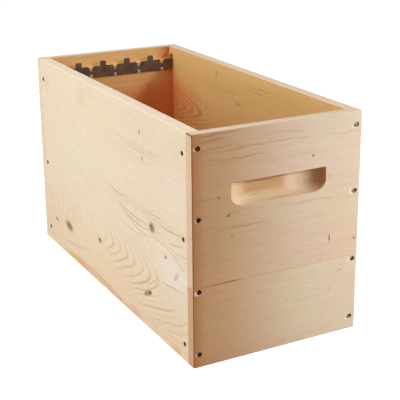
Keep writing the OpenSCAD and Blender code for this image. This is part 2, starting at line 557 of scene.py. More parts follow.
    def _figured(self) -> Value:
        """Gives how clearly the rings show at each place on the board.

        Returns:
            The share from 0 to 1.
        """
        share: Value = self.grain.plain
        for figure in self.grain.figures:
            run = (self.along - figure.along) / figure.half_length
            rise = (self.across - figure.across) / figure.half_height
            clear = 1.0 - (run * run + rise * rise).smooth(*self.FIGURE_FADE)
            share = self.math("MAXIMUM", share, clear * figure.strength)
        return share

    def _colour(self, late: Wire, fibre: Wire, streak: Wire) -> Wire:
        """Colours the wood for its outer, inner, cut and end-grain faces.

        Args:
            late: the growth rings.
            fibre: fine fibre noise.
            streak: longer streaks along the grain.

        Returns:
            The wood's colour.
        """
        tones = self.tones
        rings = late * self.grain.contrast
        outer = self.mix(rings, self.mix(self.wood(self.BLOTCH), tones.early, tones.blush), tones.late)
        # Top faces take the rim colour, partly painted light from above.
        outer = self.mix(self.flag(Flag.RIM) * self.RIM_SHARE, outer, tones.rim)
        # Faces inside the box take the inner colours, partly painted shade and bounced light.
        inner = self.mix(rings, tones.inner_early, tones.inner_late)
        colour = self.mix(self.flag(Flag.INSIDE), outer, inner)
        end = self.mix((late + self.wood(self.PORES)) * self.PORE_SHARE, tones.end, tones.late)
        colour = self.mix(self.flag(Flag.END_GRAIN) * self.END_SHARE, colour, end)
        colour = self.mix(self.flag(Flag.ARRIS) * self.WORN_SHARE, colour, tones.early)
        fresh = self.flag(Flag.FRESH_CUT) * self.CUT_SHARE
        colour = self.mix(fresh, colour, self.mix(late * self.CUT_RINGS, tones.fresh, tones.late))
        shade = fibre * (fresh * self.CUT_FIBRE_SHADE + self.FIBRE_SHADE) + streak * self.STREAK_SHADE
        shade = shade + self.wood(self.FLECK) * self.FLECK_SHADE - self.wood(self.DUCTS) * self.DUCT_SHADE
        colour = self.mix(1.0, colour, shade + 1.0, "MULTIPLY")
        mottle = self.mix(self.wood(self.MOTTLE), tones.sallow, tones.rosy)
        colour = self.mix(1.0, colour, mottle, "MULTIPLY")
        # Nail holes take a dark colour: partly iron stain, partly painted shade inside them.
        return self.mix(self.flag(Flag.RECESS), colour, tones.hole_stain_and_shade)

    def _tinted(self, colour: Wire) -> Wire:
        """Lays the board's slow colour changes over its wood, painted shade among them.

        Args:
            colour: the wood's colour.

        Returns:
            The tinted colour.
        """
        for tint in self.grain.tints:
            way = self.along if tint.way is Way.ALONG else self.across
            share = way.smooth(tint.bare, tint.full) * self._share(tint.faces)
            colour = self.mix(share, colour, tint.colour, "MULTIPLY")
        return colour

    def _share(self, faces: Faces) -> Wire:
        """Tells apart the faces that a tint or a mark reaches.

        Args:
            faces: the faces to reach.

        Returns:
            1 on those faces and 0 on the others.
        """
        if faces is Faces.INNER:
            return self.flag(Flag.INSIDE)
        if faces is Faces.HANDHOLD:
            return self.flag(Flag.FRESH_CUT)
        edges = self.math("MAXIMUM", self.flag(Flag.END_GRAIN), self.flag(Flag.RIM))
        return 1.0 - self.math("MAXIMUM", edges, self.flag(Flag.FRESH_CUT))

    def _marked(self, colour: Wire) -> Wire:
        """Lays the board's knots, specks, stains and lines, and its painted light and shade, over its
        wood.

        Args:
            colour: the wood's colour.

        Returns:
            The marked colour.
        """
        breaks = self.wood(self.BREAKS)
        streaks = self.rag.smooth(*self.HEART_STREAKS)
        for mark, reach in zip(self.grain.marks, self.reaches):
            share = (1.0 - reach.smooth(1.0 - mark.softness, 1.0 + mark.softness)) * mark.strength
            if mark.wobble:
                share = share * breaks
            if mark.faces is not Faces.EVERY:
                share = share * self._share(mark.faces)
            if mark.kind in (MarkKind.KNOT, MarkKind.SPECK):
                halo = (1.0 - reach.smooth(*self.HALO_FADE)) * (self.HALO_SHARE * mark.strength)
                colour = self.mix(halo, colour, MarkKind.HALO.value)
            colour = self.mix(share, colour, mark.kind.value)
            if mark.sweep:
                dark = (1.0 - reach.smooth(*self.HEART_FADE)) * streaks * self.HEART_SHARE
                colour = self.mix(dark, colour, MarkKind.SPECK.value)
        return colour


@dataclass(frozen=True)
class PineFinish:
    """Bare planed pine with growth rings, fibres, knots and end grain."""

    name: str
    tones: PineTones
    grain: Grain

    def material(self) -> bpy.types.Material:
        """Builds the finish as nodes on object coordinates.

        Returns:
            The finished material.
        """
        material = new_material(self.name)
        PineBench(material.node_tree, self.tones, self.grain).fill()
        return material


@dataclass(frozen=True)
class MetalFinish:
    """Sheet or wire metal with blotches, scratches and edges rubbed bright; on some nails the blotches
    are painted glints.
    """

    name: str
    base: Colour
    blotch_and_glint: Colour
    rubbed: Colour
    roughness: float
    metallic: float
    gloss: float = 0.5
    grit: float = 90.0
    blend: float = 0.13

    SCRATCH = Noise((60, 400, 900))
    RUBBED_SHARE = 0.6
    SCRATCH_SHADE = 0.3
    ROUGHNESS_RANGE = 0.3
    BUMP_DEPTH = 0.12 * MM

    def material(self) -> bpy.types.Material:
        """Builds the finish as nodes on object coordinates.

        Returns:
            The finished material.
        """
        material = new_material(self.name)
        bench = Bench(material.node_tree)
        place = bench.wire("ShaderNodeTexCoord", output="Object")
        cloud = bench.noise(place, Noise((self.grit, self.grit, self.grit), detail=4.0, roughness=0.6))
        scratch = bench.noise(place, self.SCRATCH)
        # The second tone gives blotches, and on the glinting nails painted glints.
        colour = bench.mix(cloud.smooth(-self.blend, self.blend), self.base, self.blotch_and_glint)
        colour = bench.mix(bench.flag(Flag.ARRIS) * self.RUBBED_SHARE, colour, self.rubbed)
        inputs = {
            "Base Color": bench.mix(1.0, colour, scratch * self.SCRATCH_SHADE + 1.0, "MULTIPLY"),
            "Roughness": cloud * self.ROUGHNESS_RANGE + self.roughness,
            "Metallic": self.metallic,
            "Specular IOR Level": self.gloss,
        }
        bench.surface(inputs, cloud + scratch, self.BUMP_DEPTH)
        return material


def add_object(name: str, data: bpy.types.ID) -> bpy.types.Object:
    """Adds an object to the scene.

    Args:
        name: the object's name.
        data: its mesh, light or camera.

    Returns:
        The new object.
    """
    thing = bpy.data.objects.new(name, data)
    bpy.context.scene.collection.objects.link(thing)
    return thing


def as_piece(mesh: bpy.types.Mesh, node: str) -> None:
    """Makes a mesh a piece of the box that stands for a CAD node.

    Args:
        mesh: the piece's mesh, in the box's own frame, whose name it takes.
        node: the CAD node that it replaces.
    """
    piece = add_object(mesh.name, mesh)
    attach(piece, BODY)
    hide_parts(node)
    LOG.info("%s: %d faces, stands for %s", piece.name, len(mesh.polygons), node)


def merged_copy(node: str) -> bmesh.types.BMesh:
    """Copies a CAD node's loose triangles as one joined mesh.

    Args:
        node: the CAD node's name.

    Returns:
        An editable copy.
    """
    form = bmesh.new()
    form.from_mesh(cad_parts[node].data)
    bmesh.ops.remove_doubles(form, verts=form.verts, dist=SAME_POINT)
    return form


def solid_copy(node: str) -> bmesh.types.BMesh:
    """Copies a CAD node's mesh as clean, merged faces.

    Args:
        node: the CAD node's name.

    Returns:
        An editable copy whose flat faces are whole.
    """
    form = merged_copy(node)
    bmesh.ops.dissolve_limit(form, angle_limit=FLAT_ANGLE, verts=form.verts, edges=form.edges)
    form.normal_update()
    return form


def flag_layer(form: bmesh.types.BMesh, flag: Flag) -> bmesh.types.BMLayerItem:
    """Gets the face layer that holds a flag, making it where it is missing."""
    layers = form.faces.layers.float
    return layers.get(flag.value) or layers.new(flag.value)


def is_sharp(edge: bmesh.types.BMEdge, angle: float) -> bool:
    """Tells whether two faces meet at an edge at an angle or more."""
    return len(edge.link_faces) == 2 and edge.calc_face_angle() >= angle


def ease(
    form: bmesh.types.BMesh, edges: Sequence[bmesh.types.BMEdge], width: float, steps: int, worn: float,
) -> None:
    """Rounds sharp edges and flags the new faces as worn.

    Args:
        form: the editable mesh.
        edges: the edges to round.
        width: how far the rounding reaches from each edge, in metres.
        steps: faces across the rounding.
        worn: the flag's value on the new faces.
    """
    if not edges:
        return
    result = bmesh.ops.bevel(
        form, geom=list(edges), offset=width, offset_type="OFFSET", segments=steps, profile=0.5,
        affect="EDGES", clamp_overlap=True,
    )
    layer = flag_layer(form, Flag.ARRIS)
    widest = 1.5 * width
    for face in result["faces"]:
        longest = max(edge.calc_length() for edge in face.edges)
        if face.calc_area() < widest * longest:
            face[layer] = worn


def finished_mesh(form: bmesh.types.BMesh, name: str, material: bpy.types.Material) -> bpy.types.Mesh:
    """Turns an editable copy into a mesh with flat flats and smooth curves.

    Args:
        form: the editable mesh, which is freed.
        name: the mesh's name.
        material: its finish.

    Returns:
        The mesh.
    """
    flat_area = 60 * MM ** 2
    worn = flag_layer(form, Flag.ARRIS)
    curved = [face[worn] > 0 or face.calc_area() < flat_area for face in form.faces]
    mesh = bpy.data.meshes.new(name)
    form.to_mesh(mesh)
    form.free()
    mesh.set_sharp_from_angle(angle=SHARP_ANGLE)
    mesh.polygons.foreach_set("use_smooth", curved)
    mesh.materials.append(material)
    return mesh


@dataclass(frozen=True)
class NailWear:
    """How some rows of nails, and the wood round them, have worn, with painted light and shade round
    their holes; sizes in millimetres.
    """

    nodes: tuple[str, ...]
    finish: MetalFinish
    torn_and_lit: float = 3.4
    bruised_and_shaded: float = 3.3
    darkness: float = 0.9


@dataclass(frozen=True)
class Nail:
    """One driven nail: the middle of its head's top, and the way that the head faces."""

    head: Vector
    facing: Vector


class NailGroup:
    """The nails of one CAD node, found from its own solids."""

    TURN = 2.4
    UNEVEN = 1.7
    STRAY_ALONG = 0.8
    STRAY_ACROSS = 0.6
    TORN_AND_LIT_RANGE = 0.8
    TORN_AND_LIT_STRENGTH = 0.8
    TORN_AND_LIT_ALONG = -1.8
    TORN_AND_LIT_ACROSS = -0.5
    TORN_AND_LIT_HEIGHT = 0.75
    BRUISED_AND_SHADED_HEIGHT = 0.76
    BRUISED_AND_SHADED_SOFTNESS = 0.2
    NEAR_END = 0.3 * MM

    def __init__(self, node: str, wear: NailWear) -> None:
        """Finds each nail's head and direction.

        Args:
            node: the CAD node that holds the nails.
            wear: how they have worn.
        """
        self.node = node
        self.wear = wear
        self.nails = [self._read(points) for points in self._islands()]

    def hole_marks(self, run: GrainRun) -> tuple[Mark, ...]:
        """Marks each nail with a pale mark and a dark one: partly frayed and crushed fibres, partly
        painted light on the lit side of its hole and painted shade in it.

        Args:
            run: the way that the board's grain runs.

        Returns:
            A pale mark and a dark one for each nail, a little off its middle.
        """
        first, second, _ = run.value
        wear = self.wear
        marks: tuple[Mark, ...] = ()
        for count, nail in enumerate(self.nails):
            turn = self.TURN * count + len(self.node)
            along = nail.head[first] / MM + self.STRAY_ALONG * math.cos(turn)
            across = nail.head[second] / MM + self.STRAY_ACROSS * math.sin(turn)
            # Each nail gets a pale mark off to one side, partly frayed fibres and partly painted light on
            # the lit wall of its hole, and a dark one over it, partly crushed fibres and partly painted
            # shade in the hole.
            torn_and_lit = wear.torn_and_lit + self.TORN_AND_LIT_RANGE * math.sin(self.UNEVEN * turn)
            middle = (along + self.TORN_AND_LIT_ALONG, across + self.TORN_AND_LIT_ACROSS)
            marks += MarkKind.TORN_AND_LIT.at((*middle, torn_and_lit, self.TORN_AND_LIT_HEIGHT * torn_and_lit, 0, self.TORN_AND_LIT_STRENGTH))
            dark = (along, across, wear.bruised_and_shaded, self.BRUISED_AND_SHADED_HEIGHT * wear.bruised_and_shaded, 0, wear.darkness)
            marks += MarkKind.BRUISE_AND_SHADE.at(dark, softness=self.BRUISED_AND_SHADED_SOFTNESS)
        return marks

    def _islands(self) -> list[list[Vector]]:
        """Splits the node's mesh into its nails.

        Returns:
            Each nail's points.
        """
        form = merged_copy(self.node)
        left = set(form.verts)
        islands: list[list[Vector]] = []
        for start in form.verts:
            if start not in left:
                continue
            left.discard(start)
            reached = [start]
            for vert in reached:
                beside = {other for edge in vert.link_edges for other in edge.verts} & left
                left -= beside
                reached.extend(beside)
            islands.append([vert.co.copy() for vert in reached])
        form.free()
        return islands

    @classmethod
    def _read(cls, points: Sequence[Vector]) -> Nail:
        """Finds which end of a nail is its head.

        Args:
            points: the nail's vertices.

        Returns:
            The nail.
        """
        low = Vector([min(p[i] for p in points) for i in range(3)])
        high = Vector([max(p[i] for p in points) for i in range(3)])
        axis = max(range(3), key=lambda i: high[i] - low[i])
        middle = (low + high) / 2

        def girth(level: float) -> float:
            """Gives the nail's widest radius close to one of its ends."""
            near = [p - middle for p in points if abs(p[axis] - level) < cls.NEAR_END]
            return max(math.hypot(*(v[i] for i in range(3) if i != axis)) for v in near)

        facing = Vector((0, 0, 0))
        facing[axis] = 1.0 if girth(high[axis]) > girth(low[axis]) else -1.0
        head = middle.copy()
        head[axis] = high[axis] if facing[axis] > 0 else low[axis]
        return Nail(head, facing)


@dataclass(frozen=True)
class NailForm:
    """Sizes of one kind of nail, in metres."""

    name: str
    slot: str
    head_width: float
    head_height: float
    shank_width: float
    length: float
    point: float
    chamfer: float = 0.3 * MM
    tip_radius: float = 0.2 * MM
    tilt: float = math.radians(4)

    SIDES = 20
    TILT_SEED = 5

    def tree(self, material: bpy.types.Material) -> bpy.types.NodeTree:
        """Builds the Geometry Nodes that set a nail on each point.

        Args:
            material: the nails' finish.

        Returns:
            The node group.
        """
        tree = bpy.data.node_groups.new(self.name, "GeometryNodeTree")
        face = tree.interface
        face.new_socket("Heads", in_out="INPUT", socket_type="NodeSocketGeometry")
        for label, size in self._sizes().items():
            face.new_socket(label, in_out="INPUT", socket_type="NodeSocketFloat").default_value = size
        for label in ("Turn", "Tilt"):
            face.new_socket(label, in_out="INPUT", socket_type="NodeSocketVector")
        face.new_socket("Nails", in_out="OUTPUT", socket_type="NodeSocketGeometry")
        bench = Bench(tree)
        given = {socket.name: Wire(bench, socket) for socket in bench.node("NodeGroupInput").outputs}
        nail = bench.node("GeometryNodeJoinGeometry")
        for solid in self._solids(bench, given):
            tree.links.new(solid.socket, nail.inputs[0])
        back = bench.vector("MULTIPLY", given["Tilt"], (-1.0, -1.0, -1.0))
        span = {"Min": back, "Max": given["Tilt"], "Seed": self.TILT_SEED}
        lean = bench.wire("FunctionNodeRandomValue", span, data_type="FLOAT_VECTOR")
        settings = {
            "Points": given["Heads"],
            "Instance": Wire(bench, nail.outputs[0]),
            "Rotation": bench.vector("ADD", given["Turn"], lean),
        }
        placed = bench.wire("GeometryNodeInstanceOnPoints", settings)
        real = bench.wire("GeometryNodeRealizeInstances", {0: placed})
        dressed = bench.wire("GeometryNodeSetMaterial", {"Geometry": real, "Material": material})
        bench.node("NodeGroupOutput", {0: dressed})
        return tree

    def _sizes(self) -> dict[str, float]:
        """Gives the sizes that the node group takes, by the names of its inputs."""
        return {
            "Head Radius": self.head_width / 2,
            "Head Height": self.head_height,
            "Shank Radius": self.shank_width / 2,
            "Shank Length": self.length - self.point - self.head_height,
            "Point Length": self.point,
            "Chamfer": self.chamfer,
        }

    def _solids(self, bench: Bench, given: Mapping[str, Wire]) -> list[Wire]:
        """Stacks a nail's chamfer, head, shank and point downwards from its head's top.

        Args:
            bench: the node group's bench.
            given: the group's inputs.

        Returns:
            The four solids.
        """
        head, shank, chamfer = given["Head Radius"], given["Shank Radius"], given["Chamfer"]
        stack = (
            (chamfer, head, head - chamfer),
            (given["Head Height"] - chamfer, head, head),
            (given["Shank Length"], shank, shank),
            (given["Point Length"], self.tip_radius, shank),
        )
        level: Value = 0.0
        solids = []
        for height, lower, upper in stack:
            level = level - height
            sizes = {"Vertices": self.SIDES, "Depth": height, "Radius Bottom": lower, "Radius Top": upper}
            cone = bench.wire("GeometryNodeMeshCone", sizes, "Mesh", fill_type="NGON")
            moved = {"Geometry": cone, "Translation": bench.join(0.0, 0.0, level)}
            solids.append(bench.wire("GeometryNodeTransform", moved))
        return solids

    def lay(self, finish: MetalFinish, groups: Sequence[NailGroup]) -> None:
        """Sets nails where the CAD nodes have them, one piece for each node.

        Args:
            finish: the nails' finish.
            groups: the nail groups to dress.
        """
        tree = self.tree(finish.material())
        sockets = {item.name: item.identifier for item in tree.interface.items_tree}
        for group in groups:
            seeds = bpy.data.meshes.new(group.node + "_heads")
            seeds.from_pydata([nail.head for nail in group.nails], [], [])
            carrier = add_object(group.node + "_carrier", seeds)
            facing = group.nails[0].facing
            modifier = carrier.modifiers.new("nails", "NODES")
            modifier.node_group = tree
            modifier[sockets["Turn"]] = facing.to_track_quat("Z", "Y").to_euler()[:]
            modifier[sockets["Tilt"]] = [self.tilt * (1 - abs(share)) for share in facing]
            bpy.context.view_layer.update()
            graph = bpy.context.evaluated_depsgraph_get()
            mesh = bpy.data.meshes.new_from_object(carrier.evaluated_get(graph))
            mesh.name = group.node + "_steel"
            bpy.data.objects.remove(carrier)
            mesh.set_sharp_from_angle(angle=SHARP_ANGLE)
            as_piece(mesh, group.node)


@dataclass(frozen=True)
class Board:
    """One pine board: its CAD node, its finish, the nails it takes and how its edges are eased."""

    node: str
    slot: str
    finish: PineFinish
    nailed: str = ""
    outer_arris: float = 1.3 * MM
    joint_arris: float = 0.2 * MM
    outer_steps: int = 3
    joint_steps: int = 1

    JOINT_WEAR = 0.01
    SQUARE_ON = 0.9
    FLUSH = 0.99
    ON_PLANE = 0.05 * MM
    BORE_RADIUS = 3.3 * MM
    NAIL_REACH = 60 * MM
    HANDHOLD_FOOT = 190 * MM
    HANDHOLD_TOP = 230 * MM
    HANDHOLD_DEPTH = 16 * MM
    HANDHOLD_HALF_WIDTH = 70 * MM

    def bruised_and_shaded(self, groups: Sequence[NailGroup]) -> "Board":
        """Adds pale and dark marks round the nails that enter through the board's broad outer face:
        partly frayed and crushed fibres, partly painted light and shade of their holes.

        Args:
            groups: the box's nails.

        Returns:
            The same board with further marks.
        """
        grain = self.finish.grain
        marks = grain.marks
        for group in groups:
            if self.nailed and group.node.startswith(self.nailed):
                marks += group.hole_marks(grain.run)
        return replace(self, finish=replace(self.finish, grain=replace(grain, marks=marks)))

    def dress(self, nails: Sequence[Nail]) -> None:
        """Eases the board's edges, flags its faces and gives it its finish.

        Args:
            nails: every nail of the box.
        """
        form = solid_copy(self.node)
        self._flag_faces(form, nails)
        outer = [edge for edge in form.edges if self._is_outer(edge)]
        ease(form, outer, self.outer_arris, self.outer_steps, 1.0)
        joints = [edge for edge in form.edges if self._is_joint(edge)]
        ease(form, joints, self.joint_arris, self.joint_steps, self.JOINT_WEAR)
        mesh = finished_mesh(form, self.node + "_pine", self.finish.material())
        as_piece(mesh, self.node)

    def _flag_faces(self, form: bmesh.types.BMesh, nails: Sequence[Nail]) -> None:
        """Flags end grain, rims, inner faces, the handhold and nail holes.

        Args:
            form: the editable board.
            nails: every nail of the box.
        """
        end, inside, recess, _, fresh, rim = [flag_layer(form, flag) for flag in Flag]
        grain_axis = self.finish.grain.run.value[0]
        for face in form.faces:
            if any(all(self._in_bore(vert.co, nail) for vert in face.verts) for nail in nails):
                face[recess] = 1.0
                continue
            hidden = not self._on_hull(face)
            cut = hidden and self._in_handhold(face.calc_center_median())
            face[end] = float(abs(face.normal[grain_axis]) > self.SQUARE_ON)
            face[rim] = float(face.normal.z > self.SQUARE_ON)
            face[fresh] = float(cut)
            face[inside] = float(hidden and not cut)

    def _in_handhold(self, spot: Vector) -> bool:
        """Tells whether a point lies in the outer half of an end, where the handhold is."""
        beside = abs(spot.x) < self.HANDHOLD_HALF_WIDTH and CAD_HIGH.y - abs(spot.y) < self.HANDHOLD_DEPTH
        return beside and self.HANDHOLD_FOOT < spot.z < self.HANDHOLD_TOP

    def _in_bore(self, spot: Vector, nail: Nail) -> bool:
        """Tells whether a point lies on or in a nail's hole."""
        away = spot - nail.head
        return away.cross(nail.facing).length <= self.BORE_RADIUS and away.length <= self.NAIL_REACH

    def _on_hull(self, face: bmesh.types.BMFace) -> bool:
        """Tells whether a face lies on one of the box's six outer planes."""
        sides = zip(face.calc_center_median(), CAD_LOW, CAD_HIGH, face.normal)
        return any(
            abs(way) > self.FLUSH and min(abs(spot - low), abs(spot - high)) < self.ON_PLANE
            for spot, low, high, way in sides
        )

    def _is_outer(self, edge: bmesh.types.BMEdge) -> bool:
        """Tells whether an edge is an arris of the whole box or of its rim."""
        return is_sharp(edge, CORNER_ANGLE) and all(self._on_hull(face) for face in edge.link_faces)

    def _is_joint(self, edge: bmesh.types.BMEdge) -> bool:
        """Tells whether an edge borders a joint, the handhold or a nail hole on an outer face."""
        return is_sharp(edge, EDGE_ANGLE) and any(self._on_hull(face) for face in edge.link_faces)


@dataclass(frozen=True)
class Spacer:
    """A notched metal strip that spaces the frames."""

    node: str
    slot: str
    finish: MetalFinish
    arris: float = 0.2 * MM
    arris_steps: int = 2

    def dress(self) -> None:
        """Rounds the strip's stamped edges and gives it its finish."""
        form = solid_copy(self.node)
        sharp = [edge for edge in form.edges if is_sharp(edge, EDGE_ANGLE)]
        flag_layer(form, Flag.ARRIS)
        ease(form, sharp, self.arris, self.arris_steps, 1.0)
        mesh = finished_mesh(form, self.node + "_strip", self.finish.material())
        as_piece(mesh, self.node)


@dataclass(frozen=True)
class Softbox:
    """A studio light that faces a point on the box."""

    name: str
    place: Triple
    target: Triple
    width: float
    height: float
    power: float

    def hang(self) -> None:
        """Adds the light to the scene."""
        data = bpy.data.lights.new(self.name, "AREA")
        data.shape = "RECTANGLE"
        data.size = self.width
        data.size_y = self.height
        data.energy = self.power
        lamp = add_object(self.name, data)
        lamp.location = self.place
        beam = Vector(self.target) - Vector(self.place)
        lamp.rotation_euler = beam.to_track_quat("-Z", "Y").to_euler()


@dataclass(frozen=True)
class Viewpoint:
    """The camera: its place, the way it looks in radians, and its lens in pixels of the image."""

    place: Triple = (-0.6141, -1.2213, 0.5890)
    azimuth: float = 0.4995
    fall: float = 0.3038
    roll: float = -0.0041
    focal_pixels: float = 1017.7
    centre_pixel: tuple[float, float] = (215.0, 170.0)
    sensor: float = 36.0

    def set_up(self) -> None:
        """Adds the camera and makes it the scene's own."""
        data = bpy.data.cameras.new("photo_view")
        data.sensor_width = self.sensor
        data.lens = self.focal_pixels / IMAGE_SIZE * self.sensor
        data.shift_x = (IMAGE_SIZE / 2 - self.centre_pixel[0]) / IMAGE_SIZE
        data.shift_y = (self.centre_pixel[1] - IMAGE_SIZE / 2) / IMAGE_SIZE
        camera = add_object("photo_view", data)
        forward = Vector((
            math.sin(self.azimuth) * math.cos(self.fall),
            math.cos(self.azimuth) * math.cos(self.fall),
            -math.sin(self.fall),
        ))
        level = Vector((math.cos(self.azimuth), -math.sin(self.azimuth), 0.0))
        rise = level.cross(forward)
        right = level * math.cos(self.roll) + rise * math.sin(self.roll)
        upward = rise * math.cos(self.roll) - level * math.sin(self.roll)
        turn = Matrix((right, upward, -forward)).transposed().to_4x4()
        camera.matrix_world = Matrix.Translation(self.place) @ turn
        bpy.context.scene.camera = camera


@dataclass(frozen=True)
class Studio:
    """White floor, even sky and soft lights."""

    floor_width: float = 30.0
    floor_tone: float = 0.5
    floor_glow: float = 0.9
    sky: float = 0.14
    box_middle: Triple = (0.0, 0.0, 0.15)
    front_middle: Triple = (0.0, -0.25, 0.15)

    def set_up(self) -> None:
        """Adds the floor, the sky and the lights, and sets the view transform."""
        bpy.context.scene.view_settings.view_transform = "Standard"
        self._floor()
        self._sky()
        Softbox("left_softbox", (-1.7, 0.12, 0.85), self.box_middle, 1.2, 1.2, 24.0).hang()
        Softbox("right_strip", (0.62, -0.53, 0.20), self.front_middle, 0.2, 0.44, 3.2).hang()
        Softbox("right_key", (1.0, -2.2, 1.35), self.front_middle, 0.3, 0.3, 18.0).hang()
        Softbox("top_softbox", (-0.2, 0.0, 2.1), self.box_middle, 1.0, 1.0, 12.0).hang()

    @staticmethod
    def _seen(bench: Bench) -> Wire:
        """Picks the rays that show the backdrop itself: camera, glossy and transmission rays.

        Args:
            bench: the backdrop's bench.

        Returns:
            1 for those rays and 0 for the others.
        """
        path = {output.name: Wire(bench, output) for output in bench.node("ShaderNodeLightPath").outputs}
        shiny = bench.math("MAXIMUM", path["Is Glossy Ray"], path["Is Transmission Ray"])
        return bench.math("MAXIMUM", path["Is Camera Ray"], shiny)

    def _floor(self) -> None:
        """Adds a pale floor that keeps the box's shadow."""
        half = self.floor_width / 2
        corners = [(-half, -half, 0), (half, -half, 0), (half, half, 0), (-half, half, 0)]
        mesh = bpy.data.meshes.new("studio_floor")
        mesh.from_pydata(corners, [], [(0, 1, 2, 3)])
        floor = add_object("studio_floor", mesh)
        material = new_material("studio_floor")
        bench = Bench(material.node_tree)
        tone = (self.floor_tone, self.floor_tone, self.floor_tone, 1.0)
        matt = bench.wire("ShaderNodeBsdfDiffuse", {"Color": tone})
        glow = bench.wire("ShaderNodeEmission", {"Strength": self._seen(bench) * self.floor_glow})
        both = bench.wire("ShaderNodeAddShader", {0: matt, 1: glow})
        bench.node("ShaderNodeOutputMaterial", {"Surface": both})
        mesh.materials.append(material)

    def _sky(self) -> None:
        """Adds an even sky that shows as white and lights at its own level."""
        world = bpy.data.worlds.new("studio_sky")
        world.use_nodes = True
        bench = Bench(world.node_tree)
        level = self._seen(bench) * (1.0 - self.sky) + self.sky
        white = (1.0, 1.0, 1.0, 1.0)
        sky = bench.wire("ShaderNodeBackground", {"Color": white, "Strength": level})
        bench.node("ShaderNodeOutputWorld", {"Surface": sky})
        bpy.context.scene.world = world


SIDE_TONES = PineTones(
    early=paint(238, 223, 198),
    late=paint(192, 150, 110),
    blush=paint(238, 219, 192),
    end=paint(222, 186, 150),
    rim=paint(255, 237, 212),
    sallow=paint(254, 254, 249),
    rosy=paint(255, 251, 249),
    inner_early=paint(224, 180, 118),
    inner_late=paint(186, 122, 66),
)
UPPER_END_TONES = PineTones(
    early=paint(233, 211, 187),
    late=paint(184, 142, 106),
    blush=paint(229, 204, 177),
    end=paint(226, 194, 165),
    rim=paint(238, 214, 188),
    inner_early=paint(230, 182, 116),
    inner_late=paint(190, 118, 64),
)
LOWER_END_TONES = PineTones(
    early=paint(233, 211, 187),
    late=paint(190, 150, 114),
    blush=paint(230, 206, 180),
    end=paint(202, 156, 116),
    rim=paint(233, 211, 184),
    inner_early=paint(222, 172, 108),
    inner_late=paint(180, 112, 60),
)
RIGHT_TONES = replace(
    SIDE_TONES,
    rim=paint(242, 216, 188),
    inner_early=paint(244, 202, 136),
    inner_late=paint(200, 108, 54),
)
REAR_TONES = replace(UPPER_END_TONES, end=paint(238, 220, 200), inner_early=paint(248, 206, 146))
FLOOR_TONES = PineTones(
    early=paint(222, 184, 132),
    late=paint(182, 132, 82),
    blush=paint(214, 172, 118),
    end=paint(178, 134, 92),
    rim=paint(222, 184, 132),
    inner_early=paint(222, 184, 130),
    inner_late=paint(182, 132, 82),
)

LEFT_GRAIN = Grain(
    GrainRun.LENGTHWISE, heart_along=-75, heart_across=79, ring_gap=10.5, seed=3.1, taper=0.45,
    bend_reach=120, squeeze=0.0008, plain=0.05, core=22, contrast=1.0, wander=20, wave=18, ripple=4,
    figures=(
        Figure(-80, 80, 85, 45), Figure(-110, 148, 110, 20, 0.8),
        Figure(-150, 30, 120, 30, 0.7), Figure(150, 85, 80, 22, 0.3),
    ),
    tints=(Tint(Faces.BROAD, Way.ACROSS, 120, 0, paint(253, 244, 236)),),
    marks=(
        *MarkKind.BLEACH.at((-201, 104, 40, 20, 0, 0.6), softness=0.5),
        *MarkKind.BLEACH.at((-215, 205, 50, 26, 0, 0.3), softness=0.8),
        *MarkKind.KNOT.at(
            (149, 50, 12.5, 6.8, 4, 0.9, 4), (28, 68, 5.5, 3.5, 8, 0.95, 2),
            (-146, 144, 7.2, 5.8, 0, 0.95, 12),
        ),
        *MarkKind.BROWN_KNOT.at((-129, 49, 13, 3.2, -25, 0.85)),
        *MarkKind.SPECK.at(
            (-136.5, 52, 5.8, 2.4, -25, 0.75), (-115.5, 259.7, 2, 3, 0, 0.65),
            (-122, 227, 2, 2.8, 0, 0.55), (-184.5, 118, 2.4, 2.4, 0, 0.7),
        ),
        *MarkKind.KNOT.at((-213, 103, 7.5, 3, -50, 0.35)),
        *MarkKind.SPECK.at((201.5, 44, 6, 2.2, 10, 0.6)),
        *MarkKind.STAIN.at((80.5, 260.7, 12, 12, 0, 0.25), softness=0.95),
        *MarkKind.STAIN.at((224, 256, 15, 13, 0, 0.2), (248, 228, 8, 13, 0, 0.3), softness=0.8),
        *MarkKind.WANE.at((60, -1, 130, 14, 0, 0.4), softness=0.25),
        *MarkKind.MOSS.at((130, 2, 40, 9, -4, 0.5), (-70, 1, 20, 6, 0, 0.45)),
        *MarkKind.CHIP.at(
            (96, 3, 18, 9, -8, 0.55), (-37, 1, 13, 6, 0, 0.5), (-90, 3, 20, 9, 8, 0.55),
            (-212, 2, 13, 8, 0, 0.5),
        ),
        *MarkKind.SPECK.at((-8, 0, 2.5, 2, 0, 0.8), (-196, 0, 2.5, 2, 0, 0.7)),
        *lines(
            (122.5, 8, 66, -6, 0.5), (-2.5, 8, 66, 6, 0.5), (140, 25, 85, -10, 0.35),
            (-121, 233.7, 60, 0, 0.28), (-100, 238.5, 70, 0, 0.25), (-95, 223.5, 60, 0, 0.22),
            (-45, 227.5, 35, 0, 0.25), (-150, 242.5, 60, 0, 0.25), (-110, 161.7, 130, 0, 0.4),
            (-136, 156.5, 90, 0, 0.4), (70.5, 146, 24, 26, 0.35),
        ),
        *lines((-93, 142, 50, 4, 0.55), sag=9),
        *lines((-94.5, 135, 50, 5, 0.6), sag=11),
        *lines((-85, 121.5, 57, 1, 0.5), sag=10),
        *lines((-105, 128, 40, 3, 0.4), (-199.5, 141.5, 45, -3, 0.5), sag=8),
        *lines((-202, 135, 42, 2, 0.4), sag=3),
        *lines((-199.5, 129, 45, 13, 0.55), sag=-7),
        *lines((-199, 155.5, 42, -5, 0.45), (-201.5, 83.5, 43, -5, 0.5), (-132.5, 62.5, 32, -31, 0.45)),
        *MarkKind.TORN_AND_LIT.at((88.8, 94, 8, 12, 0, 0.35), (188.8, 89, 12, 6, 20, 0.25), softness=0.6),
    ),
)
